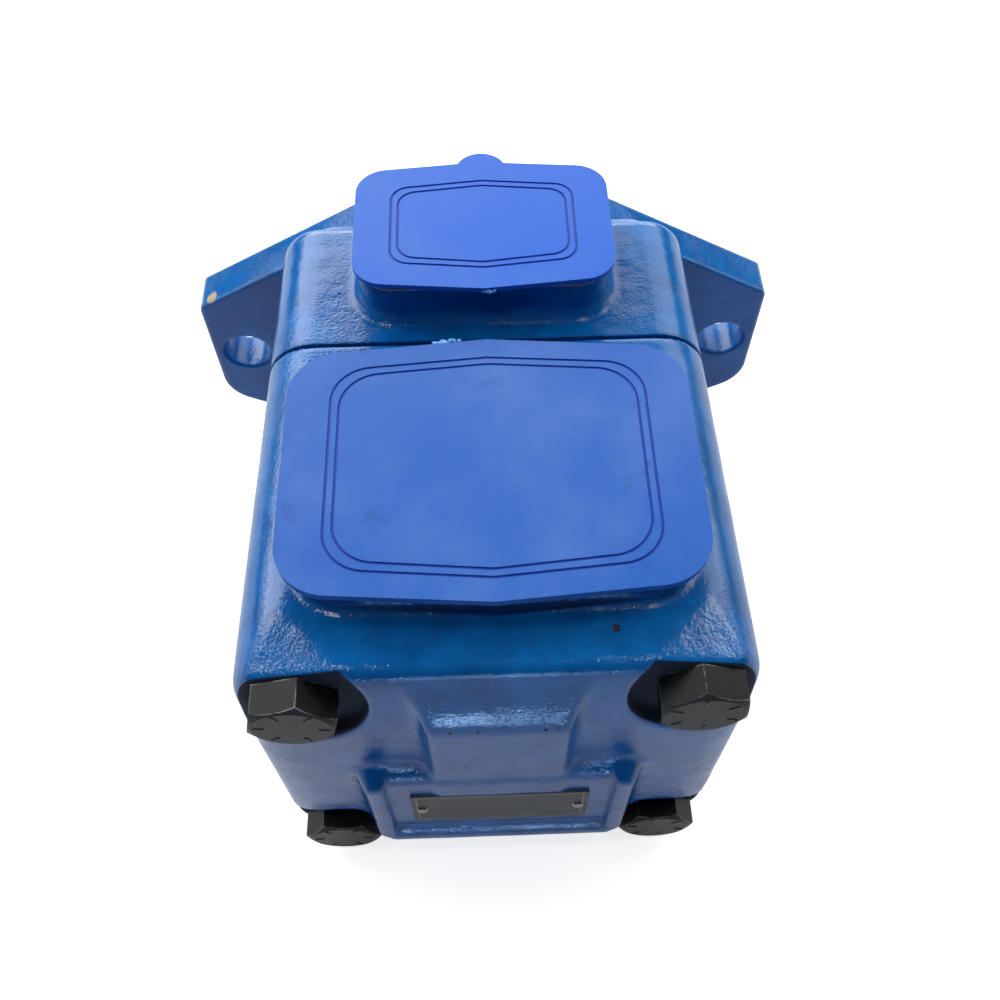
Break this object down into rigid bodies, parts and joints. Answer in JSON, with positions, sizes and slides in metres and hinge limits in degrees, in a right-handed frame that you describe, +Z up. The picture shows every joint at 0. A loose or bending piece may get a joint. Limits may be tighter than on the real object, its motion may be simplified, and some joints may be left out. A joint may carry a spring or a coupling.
{
  "type": "hydraulic vane pump",
  "caption": "Fixed-displacement vane pump with two-bolt pilot flange, keyed shaft, two flanged ports on top under blue plastic caps, and a bolted rear cover; blue cast housing.",
  "frame": {"origin": "centre of the front mounting face, on the shaft axis, where the pilot spigot meets the flange", "axes": "+Y out of the front along the shaft, +Z up through both port faces, +X to the right seen from behind the rear cover"},
  "size_m": [0.2064, 0.2467, 0.1516],
  "materials": {
    "blue_casting": "gloss paint over cast iron",
    "blue_plastic": "satin moulded",
    "black_oxide": "black oxide on steel",
    "plate_grey": "dark satin sheet",
    "plate_pin": "plain",
    "black_rubber": "moulded",
    "seal_steel": "pressed sheet",
    "spring_steel": "phosphated",
    "ground_steel": "ground",
    "bearing_steel": "polished",
    "cage_steel": "pressed",
    "bare_iron": "machined",
    "bronze": "machined",
    "hardened_steel": "ground"
  },
  "bodies": {
    "housing": {"front_body": "blue_casting", "rear_cover": "blue_casting", "cover_screws": "black_oxide", "body_seal": "black_rubber", "nameplate": "plate_grey", "nameplate_pins": "plate_pin", "bearing_outer_race": "bearing_steel", "bearing_retaining_ring": "spring_steel", "shaft_seal_case": "seal_steel", "shaft_seal_lip": "black_rubber", "shaft_seal_spring": "spring_steel", "outlet_support_plate": "bare_iron", "plate_outer_seal": "black_rubber", "plate_hub_seal": "black_rubber", "front_flex_plate": "bronze", "cam_ring": "hardened_steel", "rear_flex_plate": "bronze", "inlet_support_plate": "bare_iron", "tail_bushing": "bronze", "cartridge_screws": "black_oxide", "cartridge_dowels": "hardened_steel"},
    "rotating_group": {"drive_shaft": "ground_steel", "shaft_key": "ground_steel", "bearing_inner_race": "bearing_steel", "shaft_retaining_ring": "spring_steel", "rotor": "hardened_steel", "vane_inserts": "hardened_steel"},
    "bearing_cage_set": {"bearing_balls": "bearing_steel", "bearing_cage": "cage_steel"},
    "outlet_cap": {"outlet_port_cap": "blue_plastic"},
    "inlet_cap": {"inlet_port_cap": "blue_plastic"},
    "vane_01_blade": {"vane_01": "hardened_steel"},
    "vane_02_blade": {"vane_02": "hardened_steel"},
    "vane_03_blade": {"vane_03": "hardened_steel"},
    "vane_04_blade": {"vane_04": "hardened_steel"},
    "vane_05_blade": {"vane_05": "hardened_steel"},
    "vane_06_blade": {"vane_06": "hardened_steel"},
    "vane_07_blade": {"vane_07": "hardened_steel"},
    "vane_08_blade": {"vane_08": "hardened_steel"},
    "vane_09_blade": {"vane_09": "hardened_steel"},
    "vane_10_blade": {"vane_10": "hardened_steel"}
  },
  "joints": [
    {"name": "shaft_spin", "type": "hinge", "parent": "housing", "child": "rotating_group", "pos_m": [0, 0, 0], "axis": [0, 1, 0], "continuous": true},
    {"name": "bearing_cage_spin", "type": "hinge", "parent": "housing", "child": "bearing_cage_set", "pos_m": [0, 0, 0], "axis": [0, 1, 0], "continuous": true},
    {"name": "outlet_cap_lift", "type": "slide", "parent": "housing", "child": "outlet_cap", "axis": [0, 0, 1], "range_m": [0, 0.05]},
    {"name": "inlet_cap_lift", "type": "slide", "parent": "housing", "child": "inlet_cap", "axis": [0, 0, 1], "range_m": [0, 0.06]},
    {"name": "vane_01_slide", "type": "slide", "parent": "rotating_group", "child": "vane_01_blade", "axis": [0, 0, -1], "range_m": [0, 0.0018]},
    {"name": "vane_02_slide", "type": "slide", "parent": "rotating_group", "child": "vane_02_blade", "axis": [0.5878, 0, -0.809], "range_m": [0, 0.0018]},
    {"name": "vane_03_slide", "type": "slide", "parent": "rotating_group", "child": "vane_03_blade", "axis": [0.9511, 0, -0.309], "range_m": [0, 0.0018]},
    {"name": "vane_04_slide", "type": "slide", "parent": "rotating_group", "child": "vane_04_blade", "axis": [0.9511, 0, 0.309], "range_m": [0, 0.0018]},
    {"name": "vane_05_slide", "type": "slide", "parent": "rotating_group", "child": "vane_05_blade", "axis": [0.5878, 0, 0.809], "range_m": [0, 0.0018]},
    {"name": "vane_06_slide", "type": "slide", "parent": "rotating_group", "child": "vane_06_blade", "axis": [0, 0, 1], "range_m": [0, 0.0018]},
    {"name": "vane_07_slide", "type": "slide", "parent": "rotating_group", "child": "vane_07_blade", "axis": [-0.5878, 0, 0.809], "range_m": [0, 0.0018]},
    {"name": "vane_08_slide", "type": "slide", "parent": "rotating_group", "child": "vane_08_blade", "axis": [-0.9511, 0, 0.309], "range_m": [0, 0.0018]},
    {"name": "vane_09_slide", "type": "slide", "parent": "rotating_group", "child": "vane_09_blade", "axis": [-0.9511, 0, -0.309], "range_m": [0, 0.0018]},
    {"name": "vane_10_slide", "type": "slide", "parent": "rotating_group", "child": "vane_10_blade", "axis": [-0.5878, 0, -0.809], "range_m": [0, 0.0018]}
  ],
  "couplings": [
    {"joint": "bearing_cage_spin", "follows": "shaft_spin", "ratio": 0.3972}
  ]
}
